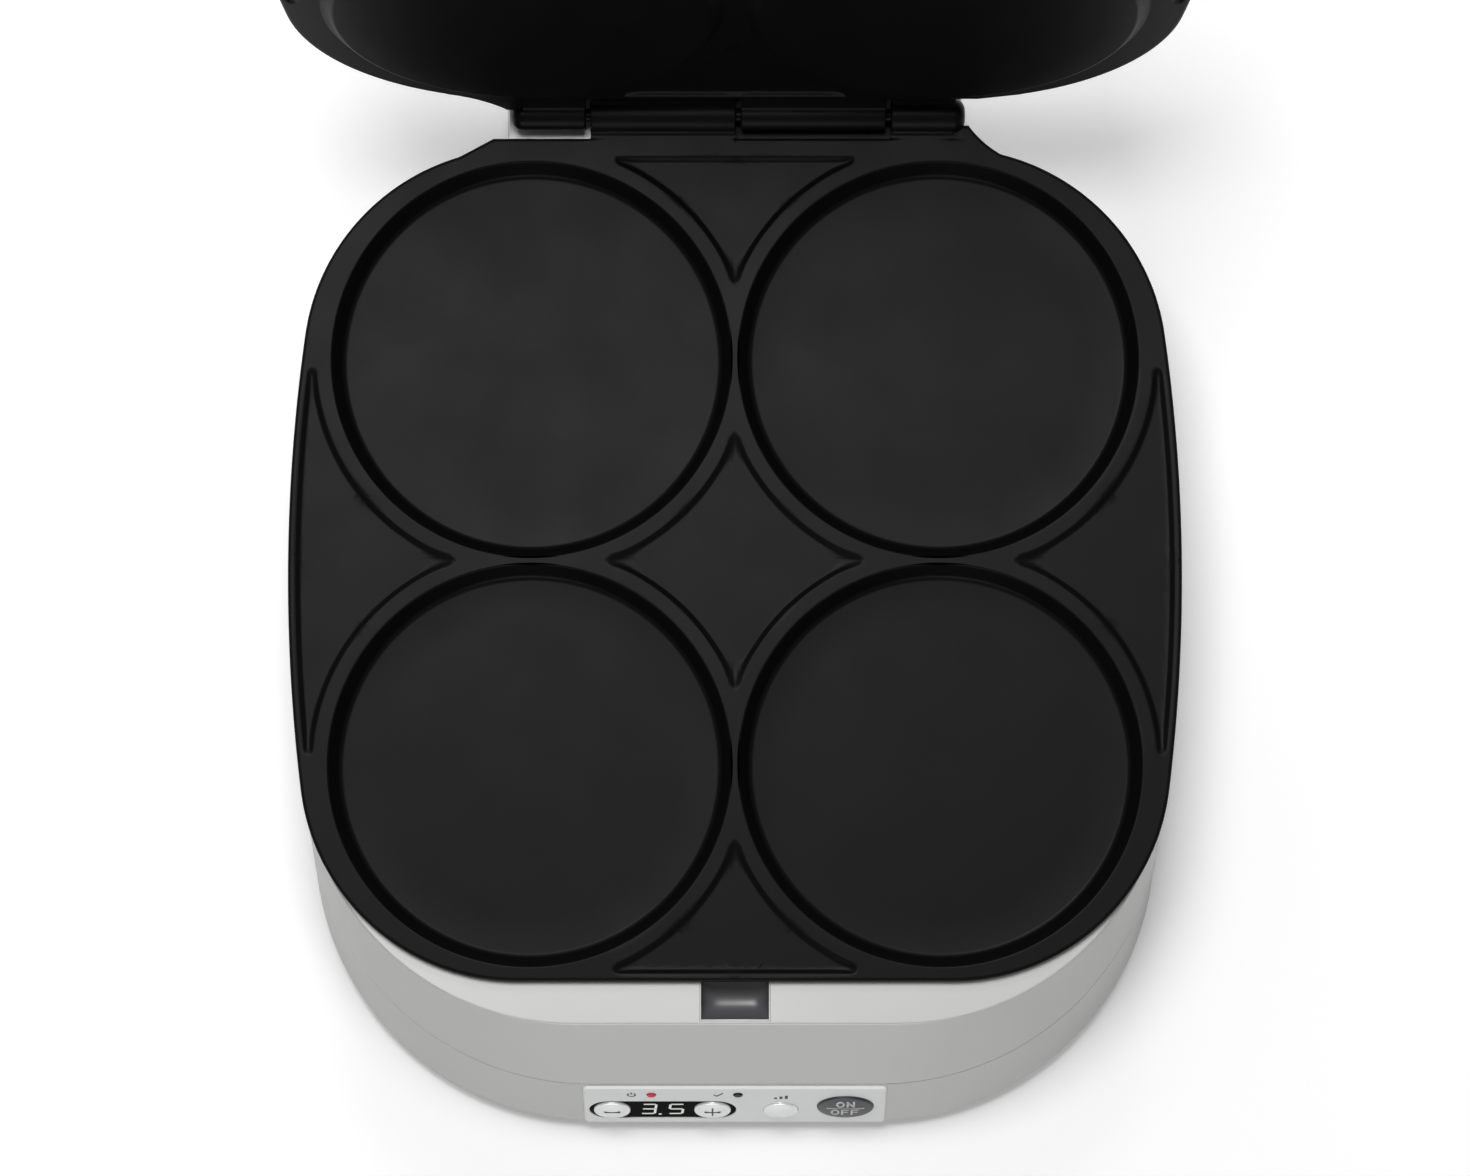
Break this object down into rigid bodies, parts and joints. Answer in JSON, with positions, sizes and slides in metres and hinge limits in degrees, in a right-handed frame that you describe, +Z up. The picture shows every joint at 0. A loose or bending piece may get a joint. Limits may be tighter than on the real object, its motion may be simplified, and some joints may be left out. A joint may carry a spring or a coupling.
{
  "type": "pancake maker",
  "caption": "Countertop electric pancake maker with hinged lid, cast non-stick plates with round wells, silver housing and a slanted control panel with buttons and lamps.",
  "frame": {"origin": "on the table, under the middle of the appliance with its lid open", "axes": "+Z up, +Y to the hinge at the back, -Y to the control panel, +X to the right seen from the front"},
  "size_m": [0.3356, 0.4802, 0.407],
  "materials": {
    "silver_housing": "satin silver lacquer",
    "plate_coating": "matt non-stick coating",
    "black_plastic": "fine grained",
    "panel_silver": "satin",
    "window_black": "polished",
    "button_silver": "satin silver",
    "button_grey": "satin",
    "lamp_red": "clear",
    "lamp_dark": "clear",
    "steel": "bright",
    "cap_steel": "satin black",
    "aluminised_sheet": "mill finish",
    "element_sheath": "dull",
    "rubber": "matt",
    "circuit_board": "solder mask",
    "component_black": "moulded",
    "component_white": "moulded"
  },
  "bodies": {
    "base": {"base_lower_shell": "silver_housing", "base_upper_shell": "silver_housing", "lower_cooking_plate": "plate_coating", "lower_heating_element": "element_sheath", "lower_element_clamps": "steel", "lower_reflector": "aluminised_sheet", "lower_plate_screws": "steel", "lower_thermal_fuse": "component_white", "base_screws": "steel", "rubber_feet": "rubber", "finger_recess": "black_plastic", "control_panel": "panel_silver", "display_window": "window_black", "power_lamp": "lamp_red", "ready_lamp": "lamp_dark", "control_board": "circuit_board", "board_screws": "steel", "tact_switches": "component_black", "display_module": "component_black", "power_board": "circuit_board", "power_board_screws": "steel", "relay": "component_black", "transformer": "component_black", "terminal_block": "component_white", "cord_gland": "black_plastic", "temperature_sensor": "steel", "hinge_pin": "steel", "base_pin_cap": "cap_steel"},
    "lid": {"upper_cooking_plate": "plate_coating", "lid_frame": "silver_housing", "lid_cover": "silver_housing", "lid_pin_cap": "cap_steel", "upper_heating_element": "element_sheath", "upper_element_clamps": "steel", "upper_reflector": "aluminised_sheet", "upper_plate_screws": "steel", "upper_thermal_fuse": "component_white"},
    "minus_button": {"minus_button": "button_silver"},
    "plus_button": {"plus_button": "button_silver"},
    "extra_button": {"extra_button": "button_silver"},
    "start_button": {"start_button": "button_grey"}
  },
  "joints": [
    {"name": "lid_hinge", "type": "hinge", "parent": "base", "child": "lid", "pos_m": [0, 0.13018, 0.0784], "axis": [1, 0, 0], "range_deg": [0, 102.2]},
    {"name": "minus_button_press", "type": "slide", "parent": "base", "child": "minus_button", "axis": [0, 0.9183, -0.396], "range_m": [0, 0.0008], "stiffness_N_per_m": 300, "springref_m": -0.001},
    {"name": "plus_button_press", "type": "slide", "parent": "base", "child": "plus_button", "axis": [0, 0.9183, -0.396], "range_m": [0, 0.0008], "stiffness_N_per_m": 300, "springref_m": -0.001},
    {"name": "extra_button_press", "type": "slide", "parent": "base", "child": "extra_button", "axis": [0, 0.9183, -0.396], "range_m": [0, 0.0008], "stiffness_N_per_m": 300, "springref_m": -0.001},
    {"name": "start_button_press", "type": "slide", "parent": "base", "child": "start_button", "axis": [0, 0.9183, -0.396], "range_m": [0, 0.0008], "stiffness_N_per_m": 300, "springref_m": -0.001}
  ]
}
